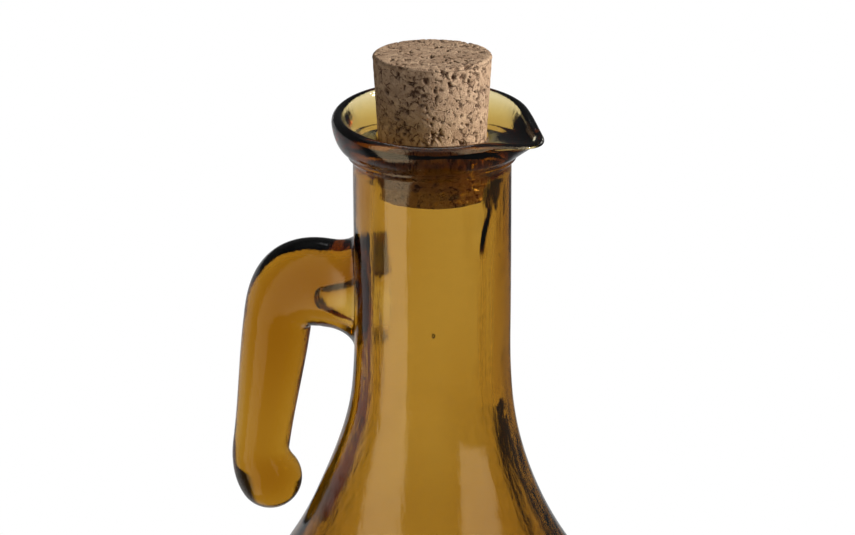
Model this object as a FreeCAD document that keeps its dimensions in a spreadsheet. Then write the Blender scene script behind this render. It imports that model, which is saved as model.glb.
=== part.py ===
import FreeCAD, Part
import os
from math import acos, asin, cos, degrees, radians, sin, sqrt

import Sketcher

# Oil bottle of thick blown glass: a round body, a tall neck, a rolled lip with a pouring spout, a hooked
# handle pulled out of the neck, and a tapered cork. It is empty.
# Frame: millimetres, +Z up, origin on the bottle's axis where it rests, spout towards +X, handle towards -X.

SIZES = {
    # outside of the body and neck
    "body_radius": 53.0,
    "belly_curve": 46.0,
    "heel_curve": 14.0,
    "heel_turn": 20.0,
    "foot_inner_radius": 29.0,
    "punt_height": 4.0,
    "shoulder_slope": 32.5,
    "flare_curve": 84.0,
    "easing_curve": 150.0,
    "easing_turn": 6.0,
    "neck_radius": 18.1,
    "neck_top": 165.0,
    "collar_radius": 19.3,
    "collar_height": 2.6,
    # hollow
    "body_wall": 3.6,
    "floor_thickness": 6.5,
    "inner_heel_curve": 9.0,
    "inner_flare_curve": 96.0,
    "bore_gap": 1.5,
    "seat_depth": 1.0,
    "seat_length": 4.0,
    # lip and spout
    "lip_radius": 19.3,
    "lip_height": 8.6,
    "lip_roll_out": 3.6,
    "lip_roll_up": 3.4,
    "lip_overlap": 0.5,
    "lip_edge": 0.9,
    "lip_tilt": 3.2,
    "spout_pull": 5.6,
    "spout_tip_radius": 7.0,
    "channel_tip_radius": 4.0,
    # handle
    "arm_drop": 32.8,
    "arm_root_height": 28.0,
    "arm_root_width": 19.0,
    "arm_height": 20.8,
    "arm_width": 15.6,
    "corner_start": 27.0,
    "corner_curve": 13.0,
    "limb_lean": 8.5,
    "limb_length": 31.5,
    "limb_top_size": 16.2,
    "limb_low_size": 13.6,
    "limb_flatness": 0.93,
    "curl_curve": 10.5,
    "curl_turn": 42.0,
    "knob_radius": 7.3,
    "pocket_drop": 35.5,
    "pocket_reach": 29.0,
    "pocket_mouth_radius": 6.5,
    "pocket_tip_radius": 2.6,
    # cork
    "cork_length": 33.0,
    "cork_top_radius": 13.65,
    "cork_bottom_radius": 11.6,
    "cork_sunk": 7.7,
    "cork_edge": 0.8,
    "seat_clearance": 0.15,
}

V = FreeCAD.Vector
UPWARD = V(0, 0, 1)
FLAT = V(0, 0, 0)
# The ends and the centre of a sketch's element, and the sketch's own origin and axes.
START, END, CENTRE = 1, 2, 3
ORIGIN = (-1, 1)
ACROSS, ALONG = -1, -2

# Names of sizes that several pieces share, as the expressions that work them out.
BELLY_OUT = "Sizes.body_radius - Sizes.belly_curve"
BELLY_UP = "Sizes.heel_curve + (Sizes.belly_curve - Sizes.heel_curve) * sin(Sizes.heel_turn * 1 deg)"
CORK_LOW = "(Sizes.neck_top - Sizes.cork_sunk)"
BORE = "(Sizes.cork_bottom_radius + Sizes.bore_gap)"
CORK_TAPER = "((Sizes.cork_top_radius - Sizes.cork_bottom_radius) / Sizes.cork_length)"
SEAT_LOW = "(Sizes.neck_top - Sizes.seat_depth)"
SEAT_HIGH = f"({SEAT_LOW} + Sizes.seat_length)"
RIM_LEVEL = "(Sizes.neck_top + Sizes.lip_height + Sizes.lip_roll_up)"
ROLL_DOWN = "(Sizes.lip_height - Sizes.collar_height + Sizes.lip_overlap)"
ABOVE_LIP = f"({RIM_LEVEL} + Sizes.lip_roll_out)"
POCKET_LEVEL = "(Sizes.neck_top - Sizes.pocket_drop)"
KNOB_NECK = "(1.9 * Sizes.knob_radius)"

# Where the lip's outside has its sections: angles round its rolled edge, from its underside to near the rim.
OUTER_ROLLS = (-84, -55, -25, 5, 40)
# Under 1, the spout stands out early, low on the lip.
SPOUT_GROWTH = 0.7
# The funnel's sections as shares of the way up to the rim, of its widening, and of the spout's pull.
CHANNEL_STEPS = (
    (-0.1, -0.05, 0.01),
    (0.3, 0.15, 0.2),
    (0.62, 0.42, 0.5),
    (0.86, 0.7, 0.78),
    (1, 1, 1),
    (1.1, 1.35, 1.2),
)


def seat_radius(level):
    """The hole that the cork's taper fills at a level, with its clearance."""
    return f"(Sizes.cork_bottom_radius + ({level} - {CORK_LOW}) * {CORK_TAPER} + Sizes.seat_clearance)"


def number(thing, expression):
    """An expression's value as a plain number."""
    found = thing.evalExpression(expression)
    return float(getattr(found, "Value", found))


def make_sheet(doc):
    """The spreadsheet of driving sizes: each name in column A and its number in column B."""
    sheet = doc.addObject("Spreadsheet::Sheet", "Sizes")
    for row, (name, value) in enumerate(SIZES.items(), start=1):
        sheet.set(f"A{row}", name)
        sheet.set(f"B{row}", str(value))
        sheet.setAlias(f"B{row}", name)
    doc.recompute()


def new_body(doc, name):
    body = doc.addObject("PartDesign::Body", name)
    body.Label = name
    return body


def new_sketch(body, name, role):
    """A sketch on one of the body's own origin planes."""
    sketch = body.newObject("Sketcher::SketchObject", name)
    plane = next(f for f in body.Origin.OriginFeatures if f.Role == role)
    sketch.AttachmentSupport = [(plane, "")]
    sketch.MapMode = "FlatFace"
    return sketch


def line(x0, y0, x1, y1):
    return Part.LineSegment(V(x0, y0, 0), V(x1, y1, 0))


def arc(x, y, radius, first, last):
    """An arc about (x, y), anticlockwise from one angle to another in degrees."""
    return Part.ArcOfCircle(Part.Circle(V(x, y, 0), UPWARD, radius), radians(first), radians(last))


def bind(sketch, kind, *where, name, size):
    """A dimension whose value is an expression on the sheet."""
    value = number(sketch, size)
    if kind == "Angle":
        value = radians(value)
    index = sketch.addConstraint(Sketcher.Constraint(kind, *where, value))
    sketch.renameConstraint(index, name)
    unit = " * 1 deg" if kind == "Angle" else ""
    sketch.setExpression(f"Constraints.{name}", f"({size}){unit}")


def relate(sketch, kind, *pairs):
    """The same relation for each tuple of elements and points."""
    for where in pairs:
        sketch.addConstraint(Sketcher.Constraint(kind, *where))


def place(sketch, x, z, turn, x_size, z_size, turn_size):
    """Lifts a section off its plane and turns it about Y, with each part bound to the sheet."""
    sketch.AttachmentOffset = FreeCAD.Placement(V(x, 0, z), FreeCAD.Rotation(V(0, 1, 0), turn))
    sketch.setExpression("AttachmentOffset.Base.x", x_size)
    sketch.setExpression("AttachmentOffset.Base.z", z_size)
    sketch.setExpression("AttachmentOffset.Rotation.Angle", turn_size)


def outer_profile(body):
    """Half the outside, from the pushed-up base to the collar's top, as tangent arcs and lines."""
    s = SIZES
    turn, slope, ease = (radians(s[name]) for name in ("heel_turn", "shoulder_slope", "easing_turn"))
    punt = (s["foot_inner_radius"] ** 2 + s["punt_height"] ** 2) / (2 * s["punt_height"])
    punt_start = degrees(acos(s["foot_inner_radius"] / punt))
    belly_x = s["body_radius"] - s["belly_curve"]
    heel_x = belly_x + (s["belly_curve"] - s["heel_curve"]) * cos(turn)
    belly_z = s["heel_curve"] + (s["belly_curve"] - s["heel_curve"]) * sin(turn)
    belly_end = V(belly_x + s["belly_curve"] * cos(slope), belly_z + s["belly_curve"] * sin(slope))
    ease_end_x = s["neck_radius"] + s["easing_curve"] * (1 - cos(ease))
    flare_end_x = ease_end_x + s["flare_curve"] * (cos(ease) - cos(slope))
    flare_end_z = belly_end.y + (belly_end.x - flare_end_x) * cos(slope) / sin(slope)
    ease_end_z = flare_end_z + s["flare_curve"] * (sin(slope) - sin(ease))
    neck_low = ease_end_z + s["easing_curve"] * sin(ease)
    top = s["neck_top"] + s["collar_height"]
    shape = [
        arc(0, s["punt_height"] - punt, punt, punt_start, 90),
        line(s["foot_inner_radius"], 0, heel_x, 0),
        arc(heel_x, s["heel_curve"], s["heel_curve"], -90, -s["heel_turn"]),
        arc(belly_x, belly_z, s["belly_curve"], -s["heel_turn"], s["shoulder_slope"]),
        line(belly_end.x, belly_end.y, flare_end_x, flare_end_z),
        arc(
            flare_end_x + s["flare_curve"] * cos(slope),
            flare_end_z + s["flare_curve"] * sin(slope),
            s["flare_curve"],
            180 + s["easing_turn"],
            180 + s["shoulder_slope"],
        ),
        arc(s["neck_radius"] + s["easing_curve"], neck_low, s["easing_curve"], 180, 180 + s["easing_turn"]),
        line(s["neck_radius"], neck_low, s["neck_radius"], s["neck_top"]),
        line(s["neck_radius"], s["neck_top"], s["collar_radius"], top),
        line(s["collar_radius"], top, 0, top),
        line(0, top, 0, s["punt_height"]),
    ]
    punt_arc, foot, heel, belly, shoulder, flare = range(6)
    easing, neck, collar, lid, axis = range(6, len(shape))
    sketch = new_sketch(body, "OuterProfile", "XZ_Plane")
    sketch.addGeometry(shape, False)
    relate(
        sketch,
        "Tangent",
        (foot, END, heel, START),
        (heel, END, belly, START),
        (belly, END, shoulder, START),
        (shoulder, END, flare, END),
        (flare, START, easing, END),
        (easing, START, neck, START),
    )
    relate(
        sketch,
        "Coincident",
        (punt_arc, START, foot, START),
        (neck, END, collar, START),
        (collar, END, lid, START),
        (lid, END, axis, START),
        (axis, END, punt_arc, END),
    )
    relate(sketch, "PointOnObject", (foot, START, ACROSS), (foot, END, ACROSS), (punt_arc, CENTRE, ALONG))
    relate(sketch, "PointOnObject", (axis, START, ALONG), (axis, END, ALONG))
    relate(sketch, "Vertical", (neck,))
    relate(sketch, "Horizontal", (lid,))
    bind(sketch, "DistanceX", *ORIGIN, foot, START, name="foot_inner", size="Sizes.foot_inner_radius")
    bind(sketch, "DistanceY", *ORIGIN, punt_arc, END, name="punt", size="Sizes.punt_height")
    bind(sketch, "DistanceX", *ORIGIN, belly, CENTRE, name="belly_out", size=BELLY_OUT)
    bind(sketch, "DistanceY", *ORIGIN, belly, CENTRE, name="belly_up", size=BELLY_UP)
    bind(sketch, "Angle", shoulder, name="slope", size="90 + Sizes.shoulder_slope")
    bind(sketch, "DistanceX", *ORIGIN, neck, END, name="neck_out", size="Sizes.neck_radius")
    bind(sketch, "DistanceY", *ORIGIN, neck, END, name="neck_up", size="Sizes.neck_top")
    bind(sketch, "DistanceX", *ORIGIN, collar, END, name="collar_out", size="Sizes.collar_radius")
    bind(sketch, "DistanceY", neck, END, collar, END, name="collar_up", size="Sizes.collar_height")
    ease_rise = "Sizes.easing_curve * sin(Sizes.easing_turn * 1 deg)"
    bind(sketch, "DistanceY", easing, END, easing, START, name="ease_rise", size=ease_rise)
    curves = {heel: "heel_curve", belly: "belly_curve", flare: "flare_curve", easing: "easing_curve"}
    for element, size in curves.items():
        bind(sketch, "Radius", element, name=size, size=f"Sizes.{size}")
    return sketch


def inner_profile(body):
    """Half the hollow: a domed floor, the body, the neck's bore, and the cork's seat open to the top."""
    s = SIZES
    turn, slope = radians(s["heel_turn"]), radians(s["shoulder_slope"])
    floor = s["floor_thickness"]
    dome = (s["foot_inner_radius"] ** 2 + s["punt_height"] ** 2) / (2 * s["punt_height"])
    dome_start = degrees(acos(s["foot_inner_radius"] / dome))
    bore_x = number(body, BORE)
    belly = s["belly_curve"] - s["body_wall"]
    belly_x = s["body_radius"] - s["belly_curve"]
    belly_z = s["heel_curve"] + (s["belly_curve"] - s["heel_curve"]) * sin(turn)
    drop = belly_z - floor - s["inner_heel_curve"]
    heel_x = belly_x + sqrt((belly - s["inner_heel_curve"]) ** 2 - drop**2)
    heel_end = -degrees(asin(drop / (belly - s["inner_heel_curve"])))
    belly_end = V(belly_x + belly * cos(slope), belly_z + belly * sin(slope))
    flare_x = bore_x + s["inner_flare_curve"] * (1 - cos(slope))
    flare_z = belly_end.y + (belly_end.x - flare_x) * cos(slope) / sin(slope)
    bore_low = flare_z + s["inner_flare_curve"] * sin(slope)
    seat_low, seat_high = number(body, SEAT_LOW), number(body, SEAT_HIGH)
    seat_in, seat_out = number(body, seat_radius(SEAT_LOW)), number(body, seat_radius(SEAT_HIGH))
    ledge_low = seat_low - (bore_x - seat_in)
    top = number(body, ABOVE_LIP)
    flare = s["inner_flare_curve"]
    shape = [
        arc(0, s["punt_height"] + floor - dome, dome, dome_start, 90),
        line(s["foot_inner_radius"], floor, heel_x, floor),
        arc(heel_x, floor + s["inner_heel_curve"], s["inner_heel_curve"], -90, heel_end),
        arc(belly_x, belly_z, belly, heel_end, s["shoulder_slope"]),
        line(belly_end.x, belly_end.y, flare_x, flare_z),
        arc(bore_x + flare, bore_low, flare, 180, 180 + s["shoulder_slope"]),
        line(bore_x, bore_low, bore_x, ledge_low),
        line(bore_x, ledge_low, seat_in, seat_low),
        line(seat_in, seat_low, seat_out, seat_high),
        line(seat_out, seat_high, seat_out, top),
        line(seat_out, top, 0, top),
        line(0, top, 0, s["punt_height"] + floor),
    ]
    dome_arc, flat, heel, belly_arc, shoulder, flare = range(6)
    bore, ledge, seat, well, lid, axis = range(6, len(shape))
    sketch = new_sketch(body, "InnerProfile", "XZ_Plane")
    sketch.addGeometry(shape, False)
    relate(
        sketch,
        "Tangent",
        (flat, END, heel, START),
        (heel, END, belly_arc, START),
        (belly_arc, END, shoulder, START),
        (shoulder, END, flare, END),
        (flare, START, bore, START),
    )
    relate(
        sketch,
        "Coincident",
        (dome_arc, START, flat, START),
        (bore, END, ledge, START),
        (ledge, END, seat, START),
        (seat, END, well, START),
        (well, END, lid, START),
        (lid, END, axis, START),
        (axis, END, dome_arc, END),
    )
    relate(sketch, "PointOnObject", (dome_arc, CENTRE, ALONG), (axis, START, ALONG), (axis, END, ALONG))
    relate(sketch, "Horizontal", (flat,), (lid,))
    relate(sketch, "Vertical", (bore,), (well,))
    dome_top = "Sizes.punt_height + Sizes.floor_thickness"
    bore_end = f"{SEAT_LOW} - {BORE} + {seat_radius(SEAT_LOW)}"
    bind(sketch, "DistanceX", *ORIGIN, flat, START, name="floor_out", size="Sizes.foot_inner_radius")
    bind(sketch, "DistanceY", *ORIGIN, flat, START, name="floor_up", size="Sizes.floor_thickness")
    bind(sketch, "DistanceY", *ORIGIN, dome_arc, END, name="dome_up", size=dome_top)
    bind(sketch, "Radius", heel, name="inner_heel", size="Sizes.inner_heel_curve")
    bind(sketch, "Radius", belly_arc, name="inner_belly", size="Sizes.belly_curve - Sizes.body_wall")
    bind(sketch, "DistanceX", *ORIGIN, belly_arc, CENTRE, name="belly_out", size=BELLY_OUT)
    bind(sketch, "DistanceY", *ORIGIN, belly_arc, CENTRE, name="belly_up", size=BELLY_UP)
    bind(sketch, "Angle", shoulder, name="slope", size="90 + Sizes.shoulder_slope")
    bind(sketch, "Radius", flare, name="inner_flare", size="Sizes.inner_flare_curve")
    bind(sketch, "DistanceX", *ORIGIN, bore, END, name="bore_out", size=BORE)
    bind(sketch, "DistanceY", *ORIGIN, bore, END, name="bore_up", size=bore_end)
    bind(sketch, "DistanceX", *ORIGIN, seat, START, name="seat_low_out", size=seat_radius(SEAT_LOW))
    bind(sketch, "DistanceY", *ORIGIN, seat, START, name="seat_low_up", size=SEAT_LOW)
    bind(sketch, "DistanceX", *ORIGIN, seat, END, name="seat_high_out", size=seat_radius(SEAT_HIGH))
    bind(sketch, "DistanceY", *ORIGIN, seat, END, name="seat_high_up", size=SEAT_HIGH)
    bind(sketch, "DistanceY", *ORIGIN, well, END, name="top_up", size=ABOVE_LIP)
    return sketch


def egg_section(body, name, radius, reach, tip, level, tilt):
    """A level section of the lip: a circle with its +X side pulled to a rounded point, tilted about Y."""
    wide, far, small = number(body, radius), number(body, reach), number(body, tip)
    away = far - small
    touch = degrees(acos((wide - small) / away))
    x, y = cos(radians(touch)), sin(radians(touch))
    shape = [
        arc(0, 0, wide, touch, 360 - touch),
        line(wide * x, -wide * y, away + small * x, -small * y),
        arc(away, 0, small, -touch, touch),
        line(away + small * x, small * y, wide * x, wide * y),
    ]
    ring, right, point, left = range(len(shape))
    sketch = new_sketch(body, name, "XY_Plane")
    sketch.addGeometry(shape, False)
    relate(sketch, "Tangent", (ring, END, right, START), (right, END, point, START))
    relate(sketch, "Tangent", (point, END, left, START), (left, END, ring, START))
    relate(sketch, "Coincident", (ring, CENTRE, *ORIGIN))
    relate(sketch, "PointOnObject", (point, CENTRE, ACROSS))
    bind(sketch, "Radius", ring, name="ring", size=radius)
    bind(sketch, "Radius", point, name="tip", size=tip)
    bind(sketch, "DistanceX", *ORIGIN, point, CENTRE, name="tip_out", size=f"{reach} - {tip}")
    place(sketch, 0, number(body, level), number(body, tilt), "0", level, tilt)
    return sketch


def lip_sections(body):
    """The outside of the lip, from the collar up round its roll to the rim; the spout grows upwards."""
    sections = []
    for index, roll in enumerate(OUTER_ROLLS):
        rise = "Sizes.lip_roll_up" if roll > 0 else ROLL_DOWN
        share = ((1 + sin(radians(roll))) / 2) ** SPOUT_GROWTH
        radius = f"(Sizes.lip_radius + Sizes.lip_roll_out * cos({roll} deg))"
        level = f"Sizes.neck_top + Sizes.lip_height + {rise} * sin({roll} deg)"
        reach = f"({radius} + Sizes.spout_pull * {share:.4f})"
        tilt = f"Sizes.lip_tilt * {share:.4f}"
        name = f"LipSection{index}"
        sections.append(egg_section(body, name, radius, reach, "Sizes.spout_tip_radius", level, tilt))
    radius = "(Sizes.lip_radius + Sizes.lip_edge)"
    reach = f"({radius} + Sizes.spout_pull)"
    sections.append(
        egg_section(body, "LipRim", radius, reach, "Sizes.spout_tip_radius", RIM_LEVEL, "Sizes.lip_tilt")
    )
    return sections


def channel_sections(body):
    """The funnel inside the lip, from just inside the cork's well up to and past the rim."""
    well = seat_radius(SEAT_HIGH)
    rim = "(Sizes.lip_radius - Sizes.lip_edge)"
    sections = []
    for index, (rise, widening, share) in enumerate(CHANNEL_STEPS):
        radius = f"({well} + ({rim} - {well}) * {widening})"
        level = f"{SEAT_HIGH} + ({RIM_LEVEL} - {SEAT_HIGH}) * {rise}"
        reach = f"({radius} + Sizes.spout_pull * {share})"
        tilt = f"Sizes.lip_tilt * {min(share, 1)}"
        name = f"ChannelSection{index}"
        sections.append(egg_section(body, name, radius, reach, "Sizes.channel_tip_radius", level, tilt))
    return sections


def oval_section(body, name, out, level, heading, tall, wide):
    """A section across the handle, out from the axis; heading 0 runs straight out and 90 straight down."""
    sketch = new_sketch(body, name, "XY_Plane")
    half_tall, half_wide = number(body, tall) / 2, number(body, wide) / 2
    oval = sketch.addGeometry(Part.Ellipse(V(half_tall, 0, 0), V(0, half_wide, 0), FLAT), False)
    sketch.exposeInternalGeometry(oval)
    long_axis, short_axis = oval + 1, oval + 2
    relate(sketch, "Coincident", (oval, CENTRE, *ORIGIN))
    relate(sketch, "Horizontal", (long_axis,))
    bind(sketch, "Distance", long_axis, name="tall", size=tall)
    bind(sketch, "Distance", short_axis, name="wide", size=wide)
    x_size, turn = f"-({out})", f"90 - ({heading})"
    place(sketch, number(body, x_size), number(body, level), number(body, turn), x_size, level, turn)
    return sketch


def knob_place(out, level, heading):
    """Where the curl that starts at a place and heading ends, as (out, level, heading)."""
    last = f"({heading} + Sizes.curl_turn)"
    further = f"Sizes.curl_curve * (sin({last} * 1 deg) - sin({heading} * 1 deg))"
    down = f"Sizes.curl_curve * (cos({heading} * 1 deg) - cos({last} * 1 deg))"
    return f"({out} + {further})", f"({level} - {down})", last


def handle_sections(body):
    """Sections along the handle: a flared root in the wall, a level arm, a corner, a limb and a curl."""
    arm = "(Sizes.neck_top - Sizes.arm_drop)"
    limb_heading = "(90 - Sizes.limb_lean)"
    in_wall = f"(2 * {BORE} + Sizes.neck_radius) / 3"

    def corner(turn):
        """Where the corner's middle line has turned by an angle, as (out, level)."""
        out = f"(Sizes.corner_start + Sizes.corner_curve * sin({turn} * 1 deg))"
        return out, f"({arm} - Sizes.corner_curve * (1 - cos({turn} * 1 deg)))"

    def limb(share):
        """A share of the way down the limb's middle line, as (out, level)."""
        out, level = corner(limb_heading)
        run = f"{share} * Sizes.limb_length"
        further = f"{run} * sin(Sizes.limb_lean * 1 deg)"
        down = f"{run} * cos(Sizes.limb_lean * 1 deg)"
        return f"({out} + {further})", f"({level} - {down})"

    rows = [
        (in_wall, arm, "0", "Sizes.arm_root_height", "Sizes.arm_root_width"),
        (
            "Sizes.neck_radius + 2.5",
            arm,
            "0",
            "(0.4 * Sizes.arm_root_height + 0.6 * Sizes.arm_height)",
            "(0.4 * Sizes.arm_root_width + 0.6 * Sizes.arm_width)",
        ),
        ("Sizes.corner_start", arm, "0", "Sizes.arm_height", "Sizes.arm_width"),
    ]
    for turn, share in ((30, 0.3), (60, 0.75)):
        tall = f"(Sizes.arm_height + {share} * (Sizes.limb_top_size - Sizes.arm_height))"
        wide = f"(Sizes.arm_width + {share} * (Sizes.limb_top_size * Sizes.limb_flatness - Sizes.arm_width))"
        rows.append((*corner(turn), str(turn), tall, wide))
    for share in (0, 0.5, 1):
        tall = f"(Sizes.limb_top_size + {share} * (Sizes.limb_low_size - Sizes.limb_top_size))"
        wide = f"{tall} * Sizes.limb_flatness"
        rows.append((*limb(share), limb_heading, tall, wide))
    knob = knob_place(*limb(1), limb_heading)
    rows.append((*knob, KNOB_NECK, f"{KNOB_NECK} * 0.98"))
    sections = [oval_section(body, f"HandleSection{index}", *row) for index, row in enumerate(rows)]
    return sections, knob


def pocket_profile(body):
    """Half the pocket that the handle's pull drew out of the bore: a cone with a round end, along X."""
    s = SIZES
    level, mouth = number(body, POCKET_LEVEL), number(body, BORE) / 2
    far, tip = s["pocket_reach"] - s["pocket_tip_radius"], s["pocket_tip_radius"]
    shape = [
        line(-mouth, level, -mouth, level + s["pocket_mouth_radius"]),
        line(-mouth, level + s["pocket_mouth_radius"], -far, level + tip),
        arc(-far, level, tip, 90, 180),
        line(-far - tip, level, -mouth, level),
    ]
    opening, side, end, middle = range(len(shape))
    sketch = new_sketch(body, "PocketProfile", "XZ_Plane")
    sketch.addGeometry(shape, False)
    spindle = sketch.addGeometry(line(-far, level, -mouth, level), True)
    relate(
        sketch,
        "Coincident",
        (opening, END, side, START),
        (side, END, end, START),
        (end, END, middle, START),
        (middle, END, opening, START),
        (spindle, START, end, CENTRE),
        (spindle, END, opening, START),
    )
    relate(sketch, "Vertical", (opening,))
    relate(sketch, "Horizontal", (middle,), (spindle,))
    bind(sketch, "DistanceX", opening, START, *ORIGIN, name="mouth_out", size=f"{BORE} / 2")
    bind(sketch, "DistanceY", *ORIGIN, opening, START, name="level", size=POCKET_LEVEL)
    bind(sketch, "DistanceY", opening, START, opening, END, name="mouth", size="Sizes.pocket_mouth_radius")
    bind(sketch, "DistanceX", end, END, *ORIGIN, name="reach", size="Sizes.pocket_reach")
    bind(sketch, "Radius", end, name="tip", size="Sizes.pocket_tip_radius")
    bind(sketch, "DistanceX", end, START, end, CENTRE, name="square_end", size="0")
    return sketch


def cork_profile(body):
    """Half the cork's taper, with its sharp edges taken off."""
    s = SIZES
    low = number(body, CORK_LOW)
    high = low + s["cork_length"]
    shape = [
        line(0, low, s["cork_bottom_radius"], low),
        line(s["cork_bottom_radius"], low, s["cork_top_radius"], high),
        line(s["cork_top_radius"], high, 0, high),
        line(0, high, 0, low),
    ]
    foot, side, head, axis = range(len(shape))
    sketch = new_sketch(body, "CorkProfile", "XZ_Plane")
    sketch.addGeometry(shape, False)
    relate(
        sketch,
        "Coincident",
        (foot, END, side, START),
        (side, END, head, START),
        (head, END, axis, START),
        (axis, END, foot, START),
    )
    relate(sketch, "PointOnObject", (axis, START, ALONG), (axis, END, ALONG))
    relate(sketch, "Horizontal", (foot,), (head,))
    bind(sketch, "DistanceY", *ORIGIN, foot, START, name="low", size=CORK_LOW)
    bind(sketch, "DistanceY", axis, END, axis, START, name="length", size="Sizes.cork_length")
    bind(sketch, "DistanceX", *ORIGIN, foot, END, name="foot_out", size="Sizes.cork_bottom_radius")
    bind(sketch, "DistanceX", *ORIGIN, head, START, name="head_out", size="Sizes.cork_top_radius")
    return sketch


def turned(body, kind, name, sketch, axis="V_Axis"):
    """A full turn of a sketch: a Revolution, which adds, or a Groove, which cuts."""
    feature = body.newObject(f"PartDesign::{kind}", name)
    feature.Profile = sketch
    feature.ReferenceAxis = (sketch, [axis])
    feature.Angle = 360
    return feature


def lofted(body, kind, name, sections):
    """A smooth skin through sections."""
    feature = body.newObject(f"PartDesign::{kind}", name)
    feature.Profile = sections[0]
    feature.Sections = sections[1:]
    feature.Ruled = False
    return feature


def make_bottle(doc):
    body = new_body(doc, "bottle")
    turned(body, "Revolution", "Outside", outer_profile(body))
    lofted(body, "AdditiveLoft", "Lip", lip_sections(body))
    sections, (out, level, _) = handle_sections(body)
    lofted(body, "AdditiveLoft", "Handle", sections)
    knob = body.newObject("PartDesign::AdditiveSphere", "Knob")
    knob.AttachmentSupport = sections[0].AttachmentSupport
    knob.MapMode = "FlatFace"
    knob.setExpression("Radius", "Sizes.knob_radius * 1 mm")
    knob.setExpression("AttachmentOffset.Base.x", f"-{out}")
    knob.setExpression("AttachmentOffset.Base.z", level)
    turned(body, "Groove", "Hollow", inner_profile(body))
    lofted(body, "SubtractiveLoft", "Channel", channel_sections(body))
    turned(body, "Groove", "Pocket", pocket_profile(body), "Axis0")
    return body


def make_cork(doc):
    body = new_body(doc, "cork")
    taper = turned(body, "Revolution", "Taper", cork_profile(body))
    doc.recompute()
    rims = [
        f"Edge{place}"
        for place, edge in enumerate(taper.Shape.Edges, start=1)
        if isinstance(edge.Curve, Part.Circle)
    ]
    rounding = body.newObject("PartDesign::Fillet", "Rims")
    rounding.Base = (taper, rims)
    rounding.setExpression("Radius", "Sizes.cork_edge * 1 mm")
    return body


def check(doc, bodies):
    """Stops before anything is written if a feature or a shape has failed."""
    failed = [thing.Name for thing in doc.Objects if {"Invalid", "Error"} & set(thing.State)]
    if failed:
        raise RuntimeError(f"these features failed: {failed}")
    for body in bodies:
        if body.Shape.isNull() or not body.Shape.isValid() or len(body.Shape.Solids) != 1:
            raise RuntimeError(f"{body.Label} is not one valid solid")


def main():
    doc = FreeCAD.newDocument("OilBottle")
    make_sheet(doc)
    bodies = [make_bottle(doc), make_cork(doc)]
    doc.recompute()
    check(doc, bodies)
    os.makedirs("parts", exist_ok=True)
    for body in bodies:
        body.Shape.exportStep(f"parts/{body.Label}.step")
        box = body.Shape.BoundBox
        print(f"{body.Label}: {body.Shape.Volume / 1000:.1f} cm3, {box}")


main()
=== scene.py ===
import math
import random

import bmesh
import bpy
from bpy.props import FloatProperty, FloatVectorProperty, IntProperty, PointerProperty
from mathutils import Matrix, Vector, noise


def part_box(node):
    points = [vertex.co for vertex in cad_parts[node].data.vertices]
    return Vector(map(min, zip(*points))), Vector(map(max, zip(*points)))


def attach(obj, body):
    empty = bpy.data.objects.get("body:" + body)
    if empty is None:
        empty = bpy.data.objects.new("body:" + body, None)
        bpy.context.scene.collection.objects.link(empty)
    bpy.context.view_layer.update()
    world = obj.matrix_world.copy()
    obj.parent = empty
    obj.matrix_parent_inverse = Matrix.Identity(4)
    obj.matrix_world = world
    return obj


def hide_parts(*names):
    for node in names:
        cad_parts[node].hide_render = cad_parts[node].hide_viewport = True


bl_info = {
    "name": "Oil Bottle",
    "version": (1, 0, 0),
    "blender": (4, 5, 0),
    "location": "3D View > Sidebar > Oil Bottle",
    "description": "A thick amber glass oil bottle with a hooked handle, a pouring lip and a cork",
    "category": "Add Mesh",
}

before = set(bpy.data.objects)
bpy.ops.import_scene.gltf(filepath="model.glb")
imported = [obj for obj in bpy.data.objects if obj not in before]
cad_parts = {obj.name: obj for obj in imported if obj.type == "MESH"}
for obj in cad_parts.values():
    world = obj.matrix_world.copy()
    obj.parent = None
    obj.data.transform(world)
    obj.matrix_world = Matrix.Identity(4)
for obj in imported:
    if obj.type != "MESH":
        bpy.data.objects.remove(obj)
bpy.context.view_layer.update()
BOTTLE_LOW, BOTTLE_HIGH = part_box("bottle")
CORK_LOW, CORK_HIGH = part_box("cork")

MM = 0.001
QUARTER = math.pi / 2
WHITE = (1.0, 1.0, 1.0, 1.0)
WARM = (1.0, 0.79, 0.5, 1.0)


def length(name, description, default):
    """A size in metres, shown in the sidebar."""
    return FloatProperty(name=name, description=description, default=default, unit="LENGTH", precision=4)


def angle(name, description, degrees):
    """An angle, shown in the sidebar in degrees."""
    return FloatProperty(name=name, description=description, default=math.radians(degrees), subtype="ANGLE")


def number(name, description, default):
    """A plain number, shown in the sidebar."""
    return FloatProperty(name=name, description=description, default=default)


def colour(name, description, default):
    """A colour, shown in the sidebar."""
    return FloatVectorProperty(name=name, description=description, default=default, subtype="COLOR", min=0, max=1)


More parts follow.
